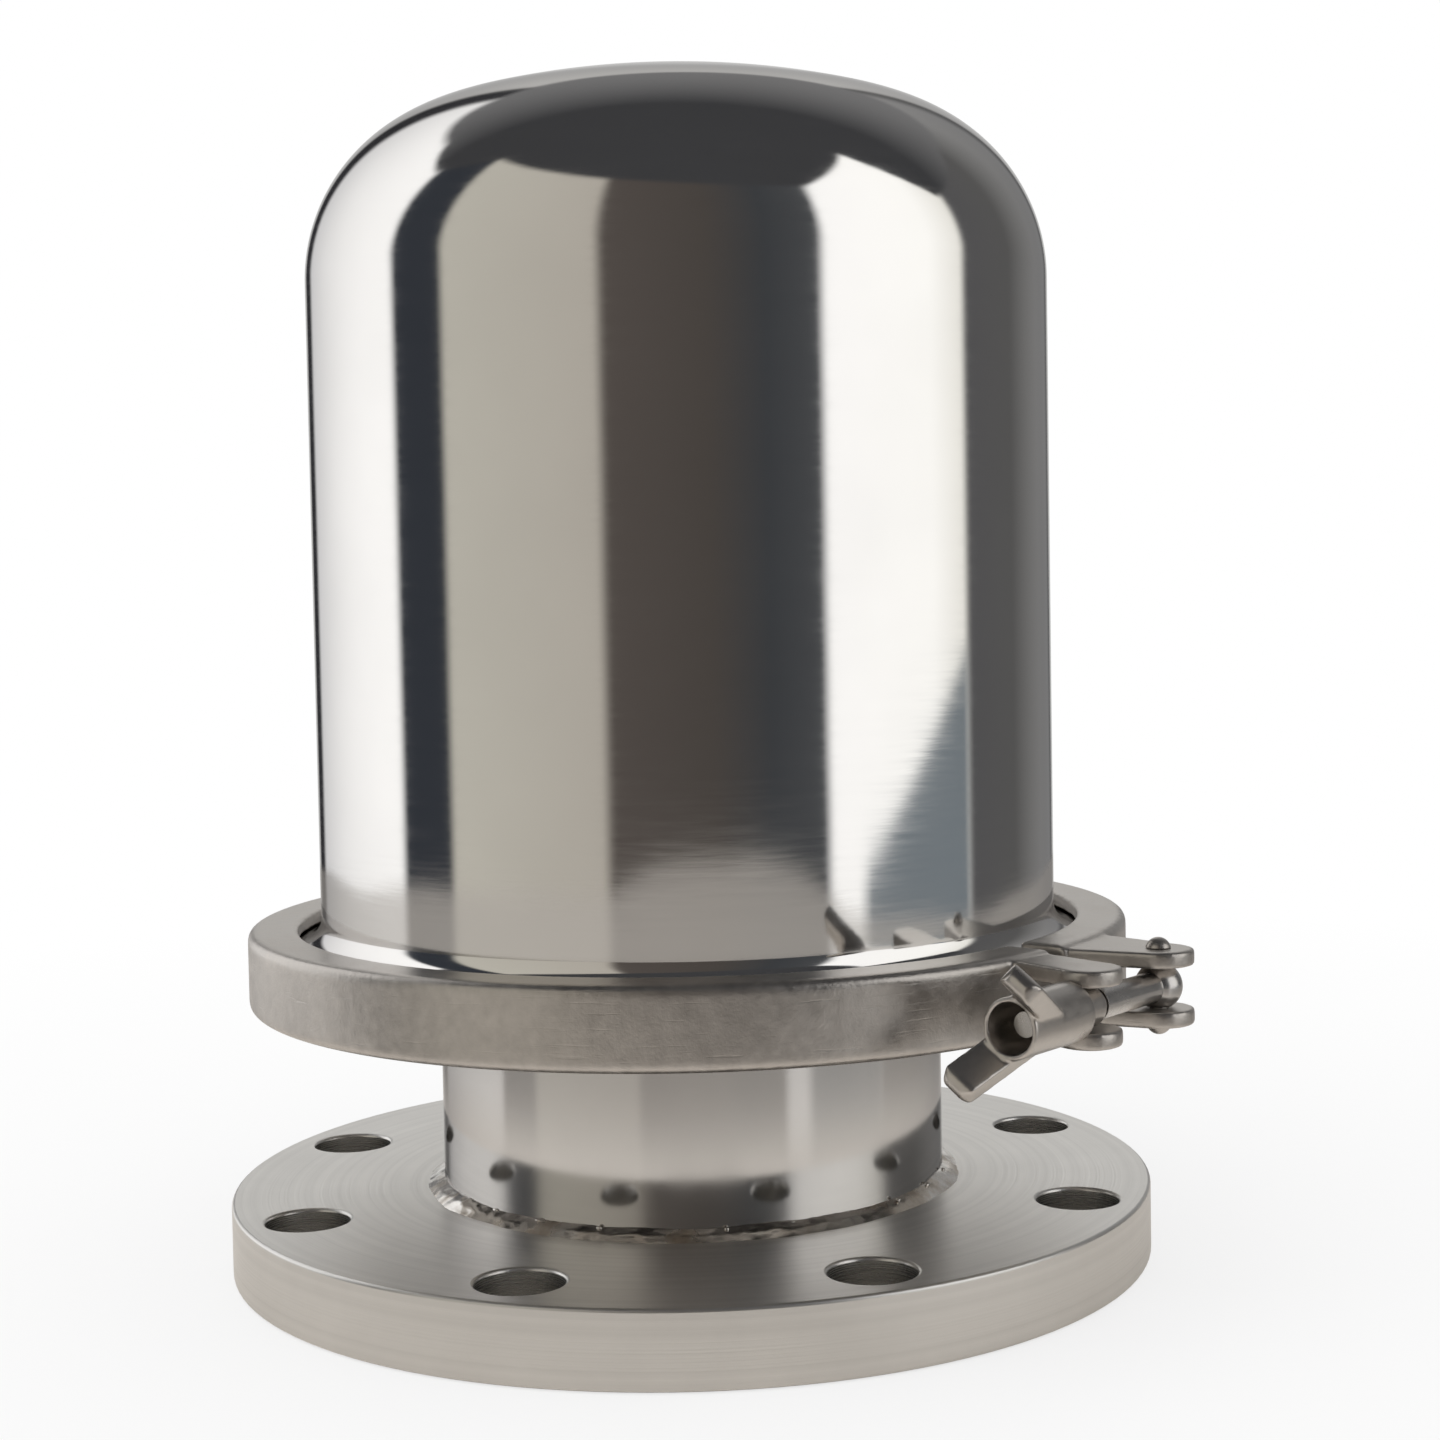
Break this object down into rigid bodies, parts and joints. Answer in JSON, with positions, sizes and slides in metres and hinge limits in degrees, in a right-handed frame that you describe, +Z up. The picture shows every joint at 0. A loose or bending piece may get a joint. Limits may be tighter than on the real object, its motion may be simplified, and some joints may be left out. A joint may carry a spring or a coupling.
{
  "type": "tank breather valve",
  "caption": "Tank breather valve: polished dished bell clamped over spring-loaded pressure and vacuum pallets, on a short neck with a drilled mounting flange.",
  "frame": {"origin": "centre of the bolt circle on the flange's sealing face", "axes": "+Z up along the neck and bell, -Y towards the viewer of the picture, the clamp closure at 41 degrees from +X towards -Y"},
  "size_m": [0.208, 0.2218, 0.2643],
  "materials": {
    "flange_steel": "turned",
    "neck_steel": "polished",
    "weld_metal": "heat-tinted weld bead",
    "trim_steel": "machined",
    "spring_steel": "drawn wire",
    "bell_steel": "mirror polished",
    "clamp_steel": "satin, blasted",
    "bolt_steel": "satin",
    "white_seal": "moulded",
    "white_bush": "turned"
  },
  "bodies": {
    "valve_body": {"flange": "flange_steel", "neck_tube": "neck_steel", "flange_weld": "weld_metal", "base_plate": "trim_steel", "base_weld": "weld_metal", "seat_ring": "trim_steel", "guide_posts": "trim_steel", "distance_sleeves": "trim_steel", "yoke": "trim_steel", "post_nuts": "trim_steel", "adjusting_screw": "trim_steel", "adjusting_locknut": "trim_steel", "spring_plate": "trim_steel", "pressure_spring": "spring_steel", "clamp_gasket": "white_seal", "bell_ferrule": "bell_steel", "bell_shell": "bell_steel", "bell_head": "bell_steel", "clamp_nut_half": "clamp_steel", "clamp_pin_half": "clamp_steel", "clamp_hinge_pin": "clamp_steel", "bolt_pivot_pin": "clamp_steel"},
    "pressure_trim": {"pressure_pallet": "trim_steel", "pressure_seal": "white_seal", "pallet_bushes": "white_bush", "pallet_hub": "trim_steel", "hub_bush": "white_bush", "vacuum_spring": "spring_steel"},
    "vacuum_trim": {"vacuum_disc": "trim_steel", "vacuum_seal": "white_seal", "vacuum_stem": "trim_steel", "disc_nut": "trim_steel", "spring_cup": "trim_steel", "stem_nuts": "trim_steel"},
    "clamp_bolt": {"swing_bolt": "bolt_steel"},
    "clamp_nut": {"wing_nut": "clamp_steel"}
  },
  "joints": [
    {"name": "pressure_lift", "type": "slide", "parent": "valve_body", "child": "pressure_trim", "axis": [0, 0, 1], "range_m": [0, 0.018], "stiffness_N_per_m": 1130, "springref_m": -0.02, "deforming": ["pressure_spring"]},
    {"name": "vacuum_drop", "type": "slide", "parent": "pressure_trim", "child": "vacuum_trim", "axis": [0, 0, -1], "range_m": [0, 0.01], "stiffness_N_per_m": 1650, "springref_m": -0.0025, "deforming": ["vacuum_spring"]},
    {"name": "bolt_swing", "type": "hinge", "parent": "valve_body", "child": "clamp_bolt", "pos_m": [0.09545, -0.0635, 0.0674], "axis": [0, 0, 1], "range_deg": [0, 110]},
    {"name": "wing_nut_turn", "type": "hinge", "parent": "clamp_bolt", "child": "clamp_nut", "pos_m": [0.06921, -0.09369, 0.0674], "axis": [-0.6561, -0.7547, 0], "continuous": true}
  ]
}
